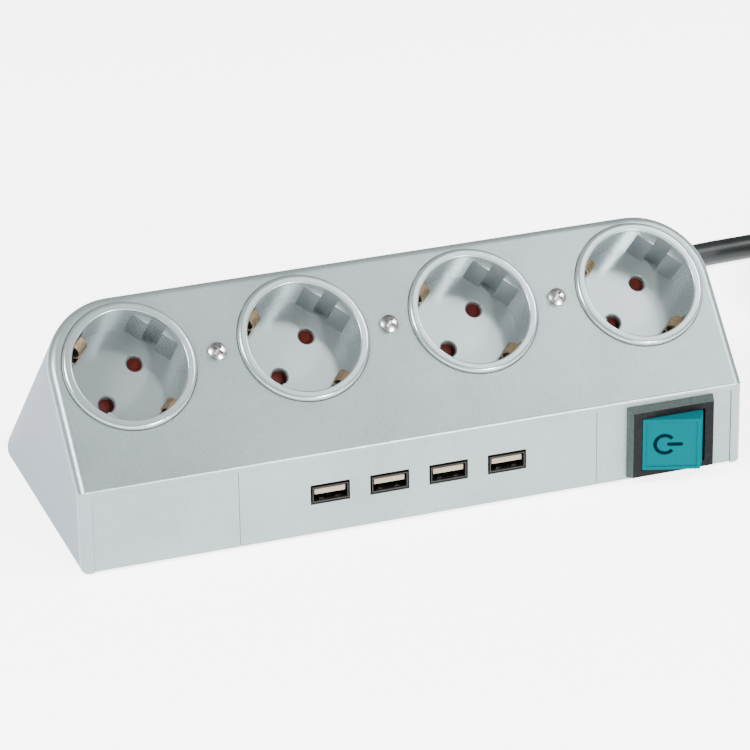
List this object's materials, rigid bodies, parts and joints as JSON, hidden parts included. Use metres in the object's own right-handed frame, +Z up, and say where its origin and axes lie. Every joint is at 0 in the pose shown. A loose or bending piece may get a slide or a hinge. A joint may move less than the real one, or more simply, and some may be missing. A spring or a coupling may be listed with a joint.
{
  "type": "desk power strip",
  "caption": "Sloping desk power strip with round earthed sockets along its face, USB charging ports and a rocker switch in the front band, and a coiled mains lead with its plug.",
  "frame": {"origin": "centre of the housing's footprint on the table, lead left out", "axes": "+X along the strip towards the switch, +Y to the back, +Z up"},
  "size_m": [0.43, 0.1845, 0.08],
  "materials": {
    "silver_shell": "metallic silver lacquer, fine flake",
    "socket_grey": "polished silver-grey",
    "shutter_red": "satin dark red",
    "black_plastic": "satin black",
    "black_rubber": "matt",
    "cord_black": "smooth satin PVC sheath",
    "plated_steel": "zinc plated",
    "dark_nickel": "dark nickel plate",
    "tongue_cream": "satin",
    "contact_copper": "sprung copper alloy",
    "gold_contact": "gold flash",
    "board_green": "varnished board",
    "transformer_tape": "wound tape",
    "capacitor_sleeve": "shrink sleeve",
    "rocker_teal": "translucent teal, satin",
    "lamp_glass": "clear",
    "inner_white": "moulded",
    "lead_brown": "insulation",
    "lead_blue": "insulation",
    "lead_green": "insulation",
    "tie_grey": "nylon"
  },
  "bodies": {
    "housing": {"top_cover": "silver_shell", "base_plate": "black_plastic", "blank_panel": "silver_shell", "usb_panel": "silver_shell", "switch_panel": "silver_shell", "socket_cup_1": "socket_grey", "socket_cup_2": "socket_grey", "socket_cup_3": "socket_grey", "socket_cup_4": "socket_grey", "shutter_springs": "plated_steel", "guide_plate": "inner_white", "contact_carrier": "inner_white", "live_busbar": "contact_copper", "neutral_busbar": "contact_copper", "earth_rail": "contact_copper", "earth_clips": "contact_copper", "cover_screws": "plated_steel", "base_screws": "plated_steel", "board_screws": "plated_steel", "rubber_feet": "black_rubber", "usb_port_1": "dark_nickel", "usb_port_2": "dark_nickel", "usb_port_3": "dark_nickel", "usb_port_4": "dark_nickel", "usb_tongues": "tongue_cream", "usb_contacts": "gold_contact", "usb_board": "board_green", "usb_transformer": "transformer_tape", "usb_capacitors": "capacitor_sleeve", "usb_controller": "black_plastic", "switch_housing": "black_plastic", "switch_terminals": "contact_copper", "switch_lamp": "lamp_glass", "cable_gland": "cord_black", "cord_clamp": "inner_white", "clamp_screws": "plated_steel", "inner_sheath": "cord_black", "live_lead": "lead_brown", "neutral_lead": "lead_blue", "earth_lead": "lead_green", "mains_cable": "cord_black", "cable_coil": "cord_black", "cable_tie": "tie_grey", "plug_cable": "cord_black", "plug_body": "cord_black", "plug_pins": "plated_steel", "plug_earth_strips": "contact_copper"},
    "rocker": {"switch_rocker": "rocker_teal", "switch_plungers": "plated_steel", "plunger_springs": "plated_steel"},
    "contact_arms": {"switch_contact_arms": "contact_copper"},
    "shutter_1": {"pin_shutter_1": "shutter_red"},
    "shutter_2": {"pin_shutter_2": "shutter_red"},
    "shutter_3": {"pin_shutter_3": "shutter_red"},
    "shutter_4": {"pin_shutter_4": "shutter_red"}
  },
  "joints": [
    {"name": "rocker_tilt", "type": "hinge", "parent": "housing", "child": "rocker", "pos_m": [0.0952, -0.05999, 0.0157], "axis": [0, 0, 1], "range_deg": [0, 36]},
    {"name": "contact_arm_tilt", "type": "hinge", "parent": "housing", "child": "contact_arms", "pos_m": [0.0952, -0.04779, 0.0157], "axis": [0, 0, 1], "range_deg": [-16, 0]},
    {"name": "shutter_1_turn", "type": "hinge", "parent": "housing", "child": "shutter_1", "pos_m": [-0.09525, -0.02958, 0.06221], "axis": [0, -0.7071, 0.7071], "range_deg": [0, 42], "stiffness_Nm_per_rad": 0.0008, "springref_deg": -28.65, "deforming": ["shutter_springs"]},
    {"name": "shutter_2_turn", "type": "hinge", "parent": "housing", "child": "shutter_2", "pos_m": [-0.03175, -0.02958, 0.06221], "axis": [0, -0.7071, 0.7071], "range_deg": [0, 42], "stiffness_Nm_per_rad": 0.0008, "springref_deg": -28.65, "deforming": ["shutter_springs"]},
    {"name": "shutter_3_turn", "type": "hinge", "parent": "housing", "child": "shutter_3", "pos_m": [0.03175, -0.02958, 0.06221], "axis": [0, -0.7071, 0.7071], "range_deg": [0, 42], "stiffness_Nm_per_rad": 0.0008, "springref_deg": -28.65, "deforming": ["shutter_springs"]},
    {"name": "shutter_4_turn", "type": "hinge", "parent": "housing", "child": "shutter_4", "pos_m": [0.09525, -0.02958, 0.06221], "axis": [0, -0.7071, 0.7071], "range_deg": [0, 42], "stiffness_Nm_per_rad": 0.0008, "springref_deg": -28.65, "deforming": ["shutter_springs"]}
  ],
  "couplings": [
    {"joint": "contact_arm_tilt", "follows": "rocker_tilt", "ratio": -0.44444}
  ]
}
